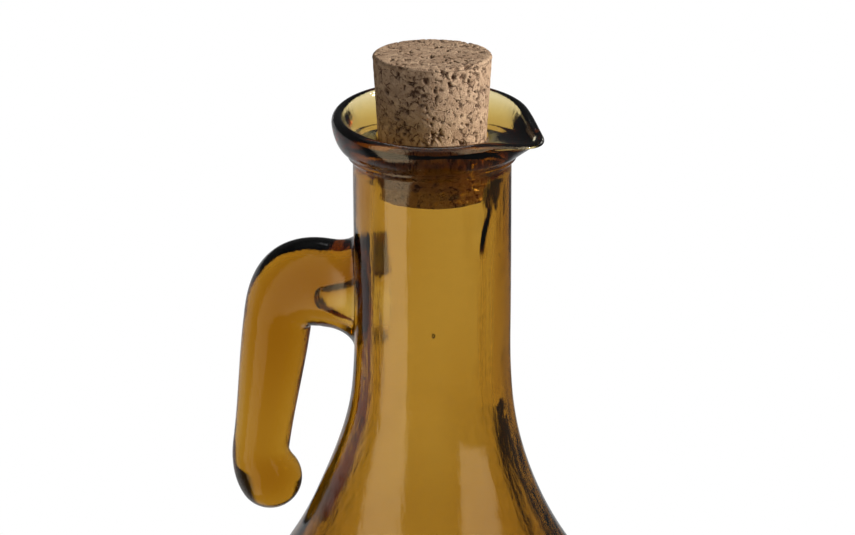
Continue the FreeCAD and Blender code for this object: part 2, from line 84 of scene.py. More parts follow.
class WallSizes(bpy.types.PropertyGroup):
    """The blown body and neck, outside and inside."""

    body_radius: length("Body radius", "Widest radius of the body", BOTTLE_HIGH.y)
    belly_curve: length("Belly curve", "Radius of the belly's curve", 46.0 * MM)
    heel_curve: length("Heel curve", "Radius of the curve into the foot", 14.0 * MM)
    heel_turn: angle("Heel turn", "Where the heel's curve meets the belly's, below level", 20.0)
    foot_inner: length("Foot inner radius", "Inner edge of the ring that it stands on", 29.0 * MM)
    punt: length("Punt", "How far the middle of the base is pushed up", 4.0 * MM)
    slope: angle("Shoulder slope", "Lean of the shoulder from upright", 32.5)
    flare_foot: length("Flare foot", "Height where the shoulder starts to curve into the neck", 71.92 * MM)
    flare_curve: length("Flare curve", "Radius of the curve from shoulder to neck", 84.0 * MM)
    easing_curve: length("Easing curve", "Radius of the last slight curve into the neck", 150.0 * MM)
    easing_turn: angle("Easing turn", "How far the easing curve turns", 6.0)
    neck_radius: length("Neck radius", "Outside radius of the neck", 18.1 * MM)
    neck_top: length("Neck top", "Height of the neck's top, below the collar", 165.0 * MM)
    wall: length("Body wall", "Thickness of the body's glass", 5.8 * MM)
    floor: length("Floor", "Thickness of the glass under the hollow", 6.5 * MM)
    inner_heel: length("Inner heel", "Radius of the hollow's lowest curve", 9.0 * MM)
    inner_flare: length("Inner flare", "Radius of the hollow's curve into the bore", 96.0 * MM)
    bore: length("Bore", "Radius of the hollow in the neck", 13.1 * MM)
    waviness: length("Waviness", "How far the hand-worked surface strays", 0.22 * MM)
    swell: length("Swell", "How much the shoulder swells on its fuller side", 1.9 * MM)
    swell_towards: angle("Swell towards", "Turn of the fuller side", -156.0)
    fold: length("Fold", "Depth of the fold down the bore under the lip", 0.8 * MM)
    bubbles: IntProperty(name="Bubbles", description="How many small bubbles the neck's glass holds", default=6)
    columns: IntProperty(name="Columns", description="Faces round the body", default=240)


class LipSizes(bpy.types.PropertyGroup):
    """The collar, the rolled lip with its spout, and the throat where the cork sits."""

    collar: length("Collar", "Radius of the band under the lip", 19.3 * MM)
    collar_rise: length("Collar rise", "Height of that band", 2.6 * MM)
    ring: length("Ring", "Radius of the lip's crest", 21.3 * MM)
    rise: length("Rise", "Height of the roll's middle above the neck", 9.4 * MM)
    roll_out: length("Roll out", "How far the roll stands out from its crest", 1.6 * MM)
    roll_up: length("Roll up", "Height of the crest above the roll's middle", 1.8 * MM)
    roll_down: length("Roll down", "Depth of the roll below its middle", 6.9 * MM)
    roll_under: length("Roll under", "How far the roll draws in below", 3.6 * MM)
    roll_in: length("Roll in", "How far the crest rounds inwards", 0.9 * MM)
    seat_low: length("Seat foot", "Foot of the seat, below the neck's top", 1.0 * MM)
    seat_high: length("Seat head", "Head of the seat, above the neck's top", 5.8 * MM)
    gap: length("Gap", "Room between the cork and its seat", 0.15 * MM)
    lean: angle("Lean", "How far the lip leans out of level", 4.6)
    lean_towards: angle("Lean towards", "Turn of the lip's low side", -63.0)
    pull: length("Spout pull", "How far the spout stands out", 4.3 * MM)
    dip: length("Spout dip", "How far the spout's point is bent down", 2.4 * MM)
    point: length("Spout point", "Radius of the spout's point", 7.0 * MM)
    groove: length("Spout groove", "Radius of the groove's point", 4.0 * MM)


class HandleSizes(bpy.types.PropertyGroup):
    """The hooked handle drawn out of the neck, and the hollow pocket at its root."""

    drop: length("Drop", "Arm's middle below the neck's top", 32.8 * MM)
    root_tall: length("Root height", "Half the height of the flare on the neck", 15.4 * MM)
    root_wide: length("Root width", "Half the width of the flare on the neck", 10.2 * MM)
    root_out: length("Root length", "How far the flare runs out", 7.5 * MM)
    arm_tall: length("Arm height", "Half the height of the arm", 10.6 * MM)
    arm_wide: length("Arm width", "Half the width of the arm", 7.8 * MM)
    corner_start: length("Corner start", "Where the arm starts to turn, from the axis", 27.0 * MM)
    corner: length("Corner", "Radius of the turn's middle line", 13.0 * MM)
    corner_full: length("Corner fullness", "How much fuller the turn is", 0.8 * MM)
    corner_out: length("Corner push", "How far the turn is pushed outwards", 0.3 * MM)
    lean: angle("Lean", "How far the limb leans outwards", 8.5)
    limb: length("Limb", "Length of the straight limb", 31.8 * MM)
    limb_top: length("Limb top", "Half the limb's thickness at its top", 8.1 * MM)
    limb_low: length("Limb foot", "Half the limb's thickness at its foot", 6.8 * MM)
    flatness: number("Flatness", "The limb's width as a share of its thickness", 0.93)
    curl: length("Curl", "Radius of the last inward curve", 10.5 * MM)
    curl_turn: angle("Curl turn", "How far the last curve turns", 48.0)
    knob: length("Knob", "Radius of the rounded end", 7.6 * MM)
    pocket_drop: length("Pocket drop", "The pocket's middle below the neck's top", 35.5 * MM)
    pocket_tall: length("Pocket height", "Half the height of the pocket's mouth", 8.0 * MM)
    pocket_wide: length("Pocket width", "Half the width of the pocket's mouth", 6.5 * MM)
    pocket_reach: length("Pocket reach", "How far the pocket runs, from the axis", 28.7 * MM)
    pocket_tip: length("Pocket tip", "Radius of the pocket's rounded end", 2.4 * MM)


class CorkSizes(bpy.types.PropertyGroup):
    """The tapered stopper of pressed cork."""

    top_radius: length("Top radius", "Radius of the head", CORK_HIGH.y)
    foot_radius: length("Foot radius", "Radius of the foot", 11.6 * MM)
    edge: length("Edge", "Rounding of its edges", 0.8 * MM)
    spacing: length("Spacing", "Distance between its vertices", 0.3 * MM)
    pit_depth: length("Pit depth", "Depth of the deepest pits", 0.55 * MM)
    roughness: length("Roughness", "How uneven the cut granules stand", 0.12 * MM)


class FinishColours(bpy.types.PropertyGroup):
    """The colours of the glass and the cork."""

    glass: colour("Glass", "What the glass lets through", (0.785, 0.635, 0.1075))
    depth: number("Glass depth", "How strongly the glass absorbs, for each metre", 400.0)
    granule_dark: colour("Dark granules", "The darkest granules", (0.25, 0.15, 0.085))
    granule_light: colour("Light granules", "The lightest granules", (0.52, 0.355, 0.225))
    # The seam colour also paints the shade inside the pits.
    seam: colour("Seams", "The seams between granules and the pits", (0.07, 0.03, 0.015))


class StageSizes(bpy.types.PropertyGroup):
    """The camera and the light."""

    azimuth: angle("Azimuth", "Direction of the camera round the bottle", 24.0)
    elevation: angle("Elevation", "Height of the camera above level", 16.5)
    distance: length("Distance", "Camera to the neck's top", 875.0 * MM)
    lens: number("Lens", "Focal length in millimetres", 161.7)
    aim_left: length("Aim left", "What the camera aims at, left of the axis", 1.07 * MM)
    aim_down: length("Aim down", "What the camera aims at, below the neck's top", 24.3 * MM)
    sides: number("Sides", "Brightness of the room's dark sides", 0.045)
    wall_start: number("Dark wall start", "Where the dark wall starts, as a share of a step to the right", 0.28)
    wall_end: number("Dark wall end", "Where the dark wall is at its darkest", 0.5)


class OilBottle(bpy.types.PropertyGroup):
    """All the bottle's sizes and colours."""

    walls: PointerProperty(type=WallSizes)
    lip: PointerProperty(type=LipSizes)
    handle: PointerProperty(type=HandleSizes)
    cork: PointerProperty(type=CorkSizes)
    finish: PointerProperty(type=FinishColours)
    stage: PointerProperty(type=StageSizes)


def smooth(value, low=0.0, high=1.0):
    """0 below low, 1 above high, and an even S-curve between."""
    share = min(max((value - low) / (high - low), 0.0), 1.0)
    return share * share * (3 - 2 * share)


def mix(a, b, share):
    return a + (b - a) * share


def arc(centre, radius, start, end, step):
    """Points (radius, height) along an arc from one angle to another."""
    count = max(2, round(abs(end - start) * radius / step))
    turns = [mix(start, end, i / count) for i in range(count + 1)]
    return [(centre[0] + radius * math.cos(t), centre[1] + radius * math.sin(t)) for t in turns]


def run(start, end, step):
    """Points (radius, height) along a straight line."""
    count = max(1, round(math.dist(start, end) / step))
    return [(mix(start[0], end[0], i / count), mix(start[1], end[1], i / count)) for i in range(count + 1)]


def chain(*parts):
    """The parts one after another, without the points that meet twice."""
    points = []
    for part in parts:
        for point in part:
            if not points or math.dist(points[-1], point) > 0.02 * MM:
                points.append(point)
    return points


def neck_base(walls):
    """Height where the neck becomes straight."""
    flare_middle = walls.flare_foot + walls.flare_curve * math.sin(walls.slope)
    return flare_middle + (walls.easing_curve - walls.flare_curve) * math.sin(walls.easing_turn)


def neck_outside(walls, height):
    """Outside radius of the neck and its flare at a height."""
    top = neck_base(walls)
    below = max(top - height, 0.0)
    if below <= walls.easing_curve * math.sin(walls.easing_turn):
        return walls.neck_radius + walls.easing_curve - math.sqrt(walls.easing_curve ** 2 - below ** 2)
    centre_out = walls.neck_radius + walls.easing_curve
    centre_out -= (walls.easing_curve - walls.flare_curve) * math.cos(walls.easing_turn)
    below -= (walls.easing_curve - walls.flare_curve) * math.sin(walls.easing_turn)
    return centre_out - math.sqrt(walls.flare_curve ** 2 - below ** 2)


def outside_path(walls, rows):
    """The outside from the foot's middle to the neck's top; rows are the heights that the handle needs."""
    dome = (walls.foot_inner ** 2 + walls.punt ** 2) / (2 * walls.punt)
    dome_turn = math.asin(walls.foot_inner / dome)
    core = walls.body_radius - walls.belly_curve
    heel_out = core + (walls.belly_curve - walls.heel_curve) * math.cos(walls.heel_turn)
    belly_up = walls.heel_curve + (walls.belly_curve - walls.heel_curve) * math.sin(walls.heel_turn)
    slope = walls.slope
    shoulder = (core + walls.belly_curve * math.cos(slope), belly_up + walls.belly_curve * math.sin(slope))
    flare_out = shoulder[0] - (walls.flare_foot - shoulder[1]) * math.tan(slope)
    heights = []
    height = walls.flare_foot
    while height < rows[0] - 1.2 * MM:
        heights.append(height)
        height += 1.6 * MM
    heights += rows
    height = rows[-1] + 1.2 * MM
    while height < walls.neck_top - 0.6 * MM:
        heights.append(height)
        height += 1.6 * MM
    heights.append(walls.neck_top)
    return chain(
        arc((0, walls.punt - dome), dome, QUARTER - 0.1 * dome_turn, QUARTER - dome_turn, 2.6 * MM),
        run((walls.foot_inner, 0), (heel_out, 0), 2.0 * MM),
        arc((heel_out, walls.heel_curve), walls.heel_curve, -QUARTER, -walls.heel_turn, 1.2 * MM),
        arc((core, belly_up), walls.belly_curve, -walls.heel_turn, slope, 2.0 * MM),
        run(shoulder, (flare_out, walls.flare_foot), 2.2 * MM),
        [(neck_outside(walls, height), height) for height in heights],
    )


def lip_path(walls, lip, cork_radius):
    """The collar, the roll and the throat, from the neck's top to the seat's foot.
    Each point is (radius, height, share of the spout's pull, radius of the spout's point, share of the lean)."""
    top = walls.neck_top
    middle = top + lip.rise
    fillet = 0.6 * MM
    points = []
    for radius, height in arc((walls.neck_radius + fillet, top), fillet, math.pi, math.pi * 0.7, 0.2 * MM)[1:]:
        points.append((radius, height, 0.0, lip.point, 0.0))
    for radius, height in arc((lip.collar - fillet, top + 1.7 * MM), fillet, -0.9, 0.3, 0.2 * MM):
        points.append((radius, height, 0.0, lip.point, 0.0))
    turns = 32
    for i in range(turns + 1):
        turn = mix(-1.38, QUARTER, i / turns)
        rise = lip.roll_up if turn > 0 else lip.roll_down
        under = (1 - math.cos(min(turn, 0.0))) ** 0.8
        radius = lip.ring + lip.roll_out * math.cos(max(turn, 0.0)) - lip.roll_under * under
        share = smooth(turn, -1.2, 0.6)
        points.append((radius, middle + rise * math.sin(turn), share, lip.point, smooth(i / turns, 0.0, 0.6)))
    turns = 12
    for i in range(1, turns + 1):
        turn = mix(QUARTER, math.pi * 0.9, i / turns)
        radius = lip.ring + lip.roll_in * math.cos(turn)
        depth = lip.roll_up - lip.roll_in * (1 - math.sin(turn))
        points.append((radius, middle + depth, 1.0, mix(lip.point, lip.groove, i / turns), 1.0))
    inner, inner_height = points[-1][:2]
    head = top + lip.seat_high
    throat = cork_radius(head) + lip.gap
    steps = 16
    for i in range(1, steps + 1):
        share = (i / steps) ** 1.5
        radius = mix(inner, throat, share)
        height = mix(inner_height, head, share ** 0.55)
        points.append((radius, height, (1 - share) ** 1.2, lip.groove, 1 - smooth(share)))
    steps = 12
    for i in range(1, steps + 1):
        height = mix(head, top - lip.seat_low, i / steps)
        points.append((cork_radius(height) + lip.gap, height, 0.0, lip.groove, 0.0))
    return points


def inside_path(walls, rows):
    """The hollow, from under the seat down to the middle of its floor; rows are the heights the pocket needs."""
    core = walls.body_radius - walls.belly_curve
    belly_up = walls.heel_curve + (walls.belly_curve - walls.heel_curve) * math.sin(walls.heel_turn)
    belly = walls.belly_curve - walls.wall
    slope = walls.slope
    shoulder = (core + belly * math.cos(slope), belly_up + belly * math.sin(slope))
    flare_centre = walls.bore + walls.inner_flare
    flare_end = (flare_centre - walls.inner_flare * math.cos(slope), 0.0)
    straight = (shoulder[0] - flare_end[0]) / math.sin(slope)
    flare_end = (flare_end[0], shoulder[1] + straight * math.cos(slope))
    bore_low = flare_end[1] + walls.inner_flare * math.sin(slope)
    floor_edge = walls.floor
    heel_up = floor_edge + walls.inner_heel
    heel_out = core + math.sqrt((belly - walls.inner_heel) ** 2 - (belly_up - heel_up) ** 2)
    heel_turn = math.atan2(belly_up - heel_up, heel_out - core)
    dome = (walls.foot_inner ** 2 + walls.punt ** 2) / (2 * walls.punt)
    dome_turn = math.asin(walls.foot_inner / dome)

    def bore_at(height):
        below = max(bore_low - height, 0.0)
        return flare_centre - math.sqrt(walls.inner_flare ** 2 - below ** 2)

    heights = []
    height = walls.neck_top - 2.2 * MM
    while height > rows[-1] + 1.0 * MM:
        heights.append(height)
        height -= 1.6 * MM
    heights += rows[::-1]
    height = rows[0] - 1.4 * MM
    while height > flare_end[1] + 0.8 * MM:
        heights.append(height)
        height -= 2.0 * MM
    return bore_at, chain(
        [(bore_at(height), height) for height in heights],
        run(flare_end, shoulder, 2.4 * MM),
        arc((core, belly_up), belly, slope, -heel_turn, 2.4 * MM),
        arc((heel_out, heel_up), walls.inner_heel, -heel_turn, -QUARTER, 1.6 * MM),
        run((heel_out, floor_edge), (walls.foot_inner, floor_edge), 2.4 * MM)[:-1],
        arc((0, floor_edge + walls.punt - dome), dome, QUARTER - dome_turn, QUARTER - 0.1 * dome_turn, 2.6 * MM),
    )


def spout_radius(radius, pull, point, turn):
    """Radius of an egg-shaped ring in one direction: a circle drawn out to a rounded point at turn 0."""
    if pull < 0.01 * MM:
        return radius
    centre = radius + pull - point
    touch = math.acos((radius - point) / centre)
    turn = abs((turn + math.pi) % (2 * math.pi) - math.pi)
    if turn >= touch:
        return radius
    if turn >= math.atan2(point * math.sin(touch), centre + point * math.cos(touch)):
        return radius / math.cos(touch - turn)
    return centre * math.cos(turn) + math.sqrt(point ** 2 - (centre * math.sin(turn)) ** 2)


def edit(piece):
    """Selects only this piece, and opens it in edit mode with nothing selected."""
    bpy.ops.object.select_all(action="DESELECT")
    piece.select_set(True)
    bpy.context.view_layer.objects.active = piece
    bpy.ops.object.mode_set(mode="EDIT")
    bpy.ops.mesh.select_mode(type="VERT")
    bpy.ops.mesh.select_all(action="DESELECT")


def start_ring(piece, radius):
    """Stores each vertex's turn round the axis, which new rings take over, and selects the ring."""
    mesh = bmesh.from_edit_mesh(piece.data)
    mesh.verts.layers.float.new("turn")
    mesh = bmesh.from_edit_mesh(piece.data)
    turn = mesh.verts.layers.float.get("turn")
    for vertex in mesh.verts:
        vertex[turn] = math.atan2(vertex.co.y, vertex.co.x)
        vertex.select = math.hypot(vertex.co.x, vertex.co.y) > radius / 2
    mesh.select_flush_mode()
    bmesh.update_edit_mesh(piece.data)


def extrude_ring(piece, place):
    """Extrudes the selected ring, and puts each new vertex where place(turn) says."""
    before = len(bmesh.from_edit_mesh(piece.data).verts)
    bpy.ops.mesh.extrude_edges_indiv()
    mesh = bmesh.from_edit_mesh(piece.data)
    mesh.verts.ensure_lookup_table()
    turn = mesh.verts.layers.float.get("turn")
    for vertex in mesh.verts[before:]:
        vertex.co = place(vertex[turn])


def close_ring(piece):
    """Extrudes the selected ring and draws it together in a point."""
    bpy.ops.mesh.extrude_edges_indiv()
    bpy.ops.mesh.merge(type="CENTER")


def wall_wave(height, turn, reach, side):
    """Slight waves in the hand-worked surface, as a distance along the radius."""
    wave = math.sin(2 * turn + 31 * height + side) + 0.8 * math.sin(3 * turn - 47 * height + 2 * side)
    wave += 0.5 * math.sin(5 * turn + 83 * height + 3 * side)
    ripple = 0.35 * math.sin(11 * turn + 40 * height + side) + 0.25 * math.sin(17 * turn - 30 * height)
    return reach * (wave + ripple) / 2


def patch_place(across, along):
    """A point of the square from -1 to 1 moved onto the round disc inside it; further out the push fades."""
    reach = max(abs(across), abs(along), 1e-9)
    inner = min(reach, 1.0)
    a = across / reach * inner
    b = along / reach * inner
    disc = Vector((a * math.sqrt(1 - b * b / 2), b * math.sqrt(1 - a * a / 2)))
    if reach <= 1:
        return disc
    return (disc * reach).lerp(Vector((across, along)), smooth(reach, 1.0, 1.8))


class Patch:
    """A block of wall faces, round turn pi, that a limb is drawn out of."""

    def __init__(self, columns, half_columns, rows, half_wide, half_tall, radius):
        self.half_turn = half_columns * 2 * math.pi / columns
        self.middle = (rows[0] + rows[-1]) / 2
        self.half_height = (rows[-1] - rows[0]) / 2
        self.half_wide = half_wide
        self.half_tall = half_tall
        self.radius = radius

    def shift(self, turn, height):
        """Where a wall vertex goes so that the block becomes an oval: its turn and height, and its place in the disc."""
        away = (turn % (2 * math.pi)) - math.pi
        across = away / self.half_turn
        along = (height - self.middle) / self.half_height
        reach = max(abs(across), abs(along))
        if reach > 1.8:
            return turn, height, None
        disc = patch_place(across, along)
        fade = smooth(reach, 1.0, 1.8)
        wide = mix(self.half_wide / self.radius, self.half_turn, fade)
        tall = mix(self.half_tall, self.half_height, fade)
        inside = disc if reach < 1.0001 else None
        return math.pi + disc.x * wide, self.middle + disc.y * tall, inside


def select_patch(piece, name):
    """Selects the marked vertices of one patch, and so its faces."""
    mesh = bmesh.from_edit_mesh(piece.data)
    mark = mesh.verts.layers.int.get(name)
    for vertex in mesh.verts:
        vertex.select = bool(vertex[mark])
    mesh.select_flush_mode()
    bmesh.update_edit_mesh(piece.data)


def extrude_patch(piece, place):
    """Extrudes the selected patch, and puts each of its vertices where place(a, b) says."""
    bpy.ops.mesh.extrude_region()
    mesh = bmesh.from_edit_mesh(piece.data)
    across = mesh.verts.layers.float.get("across")
    along = mesh.verts.layers.float.get("along")
    for vertex in mesh.verts:
        if vertex.select:
            vertex.co = place(vertex[across], vertex[along])


def turn_walls(sizes):
    """The outside, the lip and the hollow, drawn ring by ring from the middle of the foot."""
    walls = sizes.walls
    lip = sizes.lip
    handle = sizes.handle
    cork = sizes.cork
    foot_level = CORK_LOW.z
    head_level = CORK_HIGH.z

    def cork_radius(height):
        return mix(cork.foot_radius, cork.top_radius, (height - foot_level) / (head_level - foot_level))

    arm = walls.neck_top - handle.drop
    rows = [arm + i * 1.0 * MM for i in range(-14, 15)]
    handle_patch = Patch(walls.columns, 20, rows, handle.root_wide, handle.root_tall, walls.neck_radius)
    pocket = walls.neck_top - handle.pocket_drop
    pocket_rows = [pocket + i * 0.8 * MM for i in range(-10, 11)]
    pocket_patch = Patch(walls.columns, 18, pocket_rows, handle.pocket_wide, handle.pocket_tall, walls.bore)
    bore_at, hollow = inside_path(walls, pocket_rows)
    outside = outside_path(walls, rows)

    bpy.ops.object.select_all(action="DESELECT")
    bpy.ops.mesh.primitive_circle_add(vertices=walls.columns, radius=outside[0][0], fill_type="TRIFAN",
                                      location=(0, 0, outside[0][1]))
    piece = bpy.context.object
    piece.name = "bottle_glass"
    bpy.ops.object.transform_apply(location=True, rotation=False, scale=False)
    edit(piece)
    mesh = bmesh.from_edit_mesh(piece.data)
    mesh.verts.layers.float.new("across")
    mesh.verts.layers.float.new("along")
    mesh.verts.layers.int.new("handle_patch")
    mesh.verts.layers.int.new("pocket_patch")
    start_ring(piece, outside[0][0])

    def ring(turn, radius, height):
        return Vector((radius * math.cos(turn), radius * math.sin(turn), height))

    def fade(height):
        return smooth(height, 2 * MM, 20 * MM) * (1 - smooth(height, walls.neck_top - 6 * MM, walls.neck_top))

    def swell(turn, height):
        full = smooth(height, 45 * MM, 72 * MM) * (1 - smooth(height, 84 * MM, 112 * MM))
        return walls.swell * full * (0.6 + 0.4 * math.cos(turn - walls.swell_towards))

    for radius, height in outside[1:]:
        def outer(turn, radius=radius, height=height):
            turn, level, inside = handle_patch.shift(turn, height)
            if level != height:
                radius = neck_outside(walls, level)
            wave = wall_wave(level, turn, walls.waviness, 0.4) * fade(level) + swell(turn, level)
            return ring(turn, radius + wave, level)
        extrude_ring(piece, outer)
    low_side = Vector((math.cos(lip.lean_towards), math.sin(lip.lean_towards), 0)) * math.tan(lip.lean)
    for radius, height, share, point, leaning in lip_path(walls, lip, cork_radius):
        def rolled(turn, radius=radius, height=height, share=share, point=point, leaning=leaning):
            place = ring(turn, spout_radius(radius, lip.pull * share, point, turn), height)
            away = (turn + math.pi) % (2 * math.pi) - math.pi
            place.z -= leaning * low_side.dot(place)
            place.z -= lip.dip * share ** 2 * math.exp(-(away / 0.4) ** 2)
            return place
        extrude_ring(piece, rolled)
    for radius, height in hollow:
        def inner(turn, radius=radius, height=height):
            turn, level, inside = pocket_patch.shift(turn, height)
            if level != height:
                radius = bore_at(level)
            wave = wall_wave(level, turn, walls.waviness, 2.1) * fade(level)
            wave *= 1 - smooth(level, walls.neck_top - 14 * MM, walls.neck_top - 5 * MM)
            away = (turn + math.pi) % (2 * math.pi) - math.pi
            below = (walls.neck_top - level) / MM
            fold = math.exp(-((away + 0.33 + 0.04 * math.sin(0.5 * below)) / mix(0.2, 0.1, smooth(below, 5.0, 15.0))) ** 2)
            fold *= smooth(below, 3.0, 6.0) * (1 - smooth(below, 14.0, 21.0))
            return ring(turn, radius + wave + walls.fold * fold + swell(turn, level), level)
        extrude_ring(piece, inner)
    close_ring(piece)
    bmesh.update_edit_mesh(piece.data)
    return piece, handle_patch, pocket_patch, bore_at


def mark_patches(piece, handle_patch, pocket_patch, walls):
    """Stores on each vertex of a patch its place in the disc."""
    mesh = bmesh.from_edit_mesh(piece.data)
    across = mesh.verts.layers.float.get("across")
    along = mesh.verts.layers.float.get("along")
    border = (walls.neck_radius + walls.bore) / 2
    for name, patch in (("handle_patch", handle_patch), ("pocket_patch", pocket_patch)):
        mark = mesh.verts.layers.int.get(name)
        for vertex in mesh.verts:
            out = math.hypot(vertex.co.x, vertex.co.y)
            if vertex.co.x > 0 or (out > border) != (name == "handle_patch"):
                continue
            away = (math.atan2(vertex.co.y, vertex.co.x) % (2 * math.pi)) - math.pi
            a = away * patch.radius / patch.half_wide
            b = (vertex.co.z - patch.middle) / patch.half_tall
            if a * a + b * b < 1.002:
                vertex[mark] = 1
                vertex[across] = a
                vertex[along] = b
    bmesh.update_edit_mesh(piece.data)


def handle_stations(walls, handle):
    """The handle's middle line after its root: place, heading, half its height and half its width."""
    level = walls.neck_top - handle.drop
    start = walls.neck_radius + handle.root_out
    stations = [((-start - 0.7 * MM, level), (-1.0, 0.0), handle.arm_tall, handle.arm_wide)]
    turn_end = QUARTER - handle.lean
    steps = 24
    for i in range(steps + 1):
        turn = turn_end * i / steps
        full = math.sin(math.pi * i / steps)
        reach = handle.corner + handle.corner_out * full
        place = (-handle.corner_start - reach * math.sin(turn), level - handle.corner + reach * math.cos(turn))
        share = smooth(i / steps)
        tall = mix(handle.arm_tall, handle.limb_top, share) + handle.corner_full * full ** 2
        wide = mix(handle.arm_wide, handle.limb_top * handle.flatness, share)
        stations.append((place, (-math.cos(turn), -math.sin(turn)), tall, wide))
    last, heading = stations[-1][:2]
    steps = 26
    for i in range(1, steps + 1):
        gone = handle.limb * i / steps
        size = mix(handle.limb_top, handle.limb_low, smooth(i / steps))
        place = (last[0] + heading[0] * gone, last[1] + heading[1] * gone)
        stations.append((place, heading, size, size * handle.flatness))
    last = stations[-1][0]
    steps = 12
    for i in range(1, steps + 1):
        lean = handle.lean - handle.curl_turn * i / steps
        out = handle.curl * (math.cos(handle.lean) - math.cos(lean))
        down = handle.curl * (math.sin(lean) - math.sin(handle.lean))
        share = smooth(i / steps)
        tall = mix(handle.limb_low, handle.knob, share)
        wide = mix(handle.limb_low * handle.flatness, handle.knob, share)
        stations.append(((last[0] + out, last[1] + down), (-math.sin(lean), -math.cos(lean)), tall, wide))
    return stations


def draw_handle(piece, sizes):
    """Draws the handle out of its patch on the neck: a hollow curve at the root, the arm, the limb and the knob."""
    walls = sizes.walls
    handle = sizes.handle
    level = walls.neck_top - handle.drop
    mesh = bmesh.from_edit_mesh(piece.data)
    select_patch(piece, "handle_patch")
    steps = 14
    for i in range(1, steps + 1):
        bend = QUARTER * i / steps
        left = 1 - math.sin(bend)
        tall = mix(handle.arm_tall, handle.root_tall, left)
        wide = mix(handle.arm_wide, handle.root_wide, left)
        out = handle.root_out * (1 - math.cos(bend))
        flat = smooth(i / steps)

        def root(a, b, tall=tall, wide=wide, out=out, flat=flat):
            height = level + b * tall
            radius = neck_outside(walls, height)
            round_side = radius * math.sin(a * wide / walls.neck_radius)
            side = mix(round_side, a * wide, flat)
            face = mix(math.sqrt(radius ** 2 - round_side ** 2), walls.neck_radius, flat)
            return Vector((-face - out, -side, height))
        extrude_patch(piece, root)
    for place, heading, tall, wide in handle_stations(walls, handle):
        upward = (heading[1], -heading[0])

        def section(a, b, place=place, upward=upward, tall=tall, wide=wide):
            return Vector((place[0] + upward[0] * b * tall, -a * wide, place[1] + upward[1] * b * tall))
        extrude_patch(piece, section)

    def cap(a, b):
        out = min(math.hypot(a, b), 1.0)
        spread = math.sin(out * QUARTER) / max(out, 1e-6) * handle.knob
        ahead = math.cos(out * QUARTER) * handle.knob
        return Vector((place[0] + upward[0] * b * spread + heading[0] * ahead, -a * spread,
                       place[1] + upward[1] * b * spread + heading[1] * ahead))
    mesh = bmesh.from_edit_mesh(piece.data)
    across = mesh.verts.layers.float.get("across")
    along = mesh.verts.layers.float.get("along")
    for vertex in mesh.verts:
        if vertex.select:
            vertex.co = cap(vertex[across], vertex[along])
    bmesh.update_edit_mesh(piece.data)
    bpy.ops.mesh.select_all(action="DESELECT")


def press_pocket(piece, sizes, bore_at):
    """Presses the hollow pocket from the bore into the handle's root."""
    walls = sizes.walls
    handle = sizes.handle
    level = walls.neck_top - handle.pocket_drop
    select_patch(piece, "pocket_patch")
    rim = 2.2 * MM
    tip = handle.pocket_tip
    steps = 8
    for i in range(1, steps + 1):
        bend = QUARTER * i / steps
        shrink = mix(0.78, 1.0, 1 - math.sin(bend))
        out = rim * (1 - math.cos(bend))
        flat = smooth(i / steps)

        def mouth(a, b, shrink=shrink, out=out, flat=flat):
            height = level + b * handle.pocket_tall * shrink
            radius = bore_at(height)
            round_side = radius * math.sin(a * handle.pocket_wide * shrink / walls.bore)
            side = mix(round_side, a * handle.pocket_wide * shrink, flat)
            face = mix(math.sqrt(radius ** 2 - round_side ** 2), walls.bore, flat)
            return Vector((-face - out, -side, height))
        extrude_patch(piece, mouth)
    start = walls.bore + rim
    end = handle.pocket_reach - tip
    steps = 14
    for i in range(1, steps + 1):
        share = i / steps
        out = mix(start, end, share)
        tall = mix(handle.pocket_tall * 0.78, tip, share ** 0.9)
        wide = mix(handle.pocket_wide * 0.78, tip * 0.9, share ** 0.9)

        def section(a, b, out=out, tall=tall, wide=wide):
            return Vector((-out, -a * wide, level + b * tall))
        extrude_patch(piece, section)
    mesh = bmesh.from_edit_mesh(piece.data)
    across = mesh.verts.layers.float.get("across")
    along = mesh.verts.layers.float.get("along")
    for vertex in mesh.verts:
        if vertex.select:
            a = vertex[across]
            b = vertex[along]
            out = min(math.hypot(a, b), 1.0)
            spread = math.sin(out * QUARTER) / max(out, 1e-6)
            ahead = math.cos(out * QUARTER) * tip
            vertex.co = Vector((-end - ahead, -a * spread * tip * 0.9, level + b * spread * tip))
    bmesh.update_edit_mesh(piece.data)
    bpy.ops.mesh.select_all(action="DESELECT")


def add_bubbles(walls):
    """Small air bubbles inside the neck's glass, round the neck and down it, as closed hollows."""
    middle = (walls.neck_radius + walls.bore) / 2
    for i in range(walls.bubbles):
        turn = -2.05 + 2.4 * i
        height = walls.neck_top - (14 + 7.5 * i) * MM
        radius = (0.22 + 0.16 * math.sin(3.7 * i) ** 2) * MM
        bpy.ops.mesh.select_all(action="DESELECT")
        bpy.ops.mesh.primitive_ico_sphere_add(subdivisions=3, radius=radius,
                                              location=(middle * math.cos(turn), middle * math.sin(turn), height))
        bpy.ops.transform.resize(value=(1, 1, 1.6), center_override=(middle * math.cos(turn), middle * math.sin(turn), height))
        bpy.ops.mesh.flip_normals()


def nodes_of(name):
    """A new material with an empty node tree."""
    material = bpy.data.materials.new(name)
    material.use_nodes = True
    material.node_tree.nodes.clear()
    return material, material.node_tree


def add(tree, kind, **values):
    """A node, with its properties and plain socket values set."""
    node = tree.nodes.new(kind)
    for key, value in values.items():
        if key in node.inputs:
            node.inputs[key].default_value = value
        else:
            setattr(node, key, value)
    return node


def put(node, **values):
    """Sets a node's sockets; underscores in a name stand for its spaces."""
    for key, value in values.items():
        node.inputs[key.replace("_", " ")].default_value = value
    return node


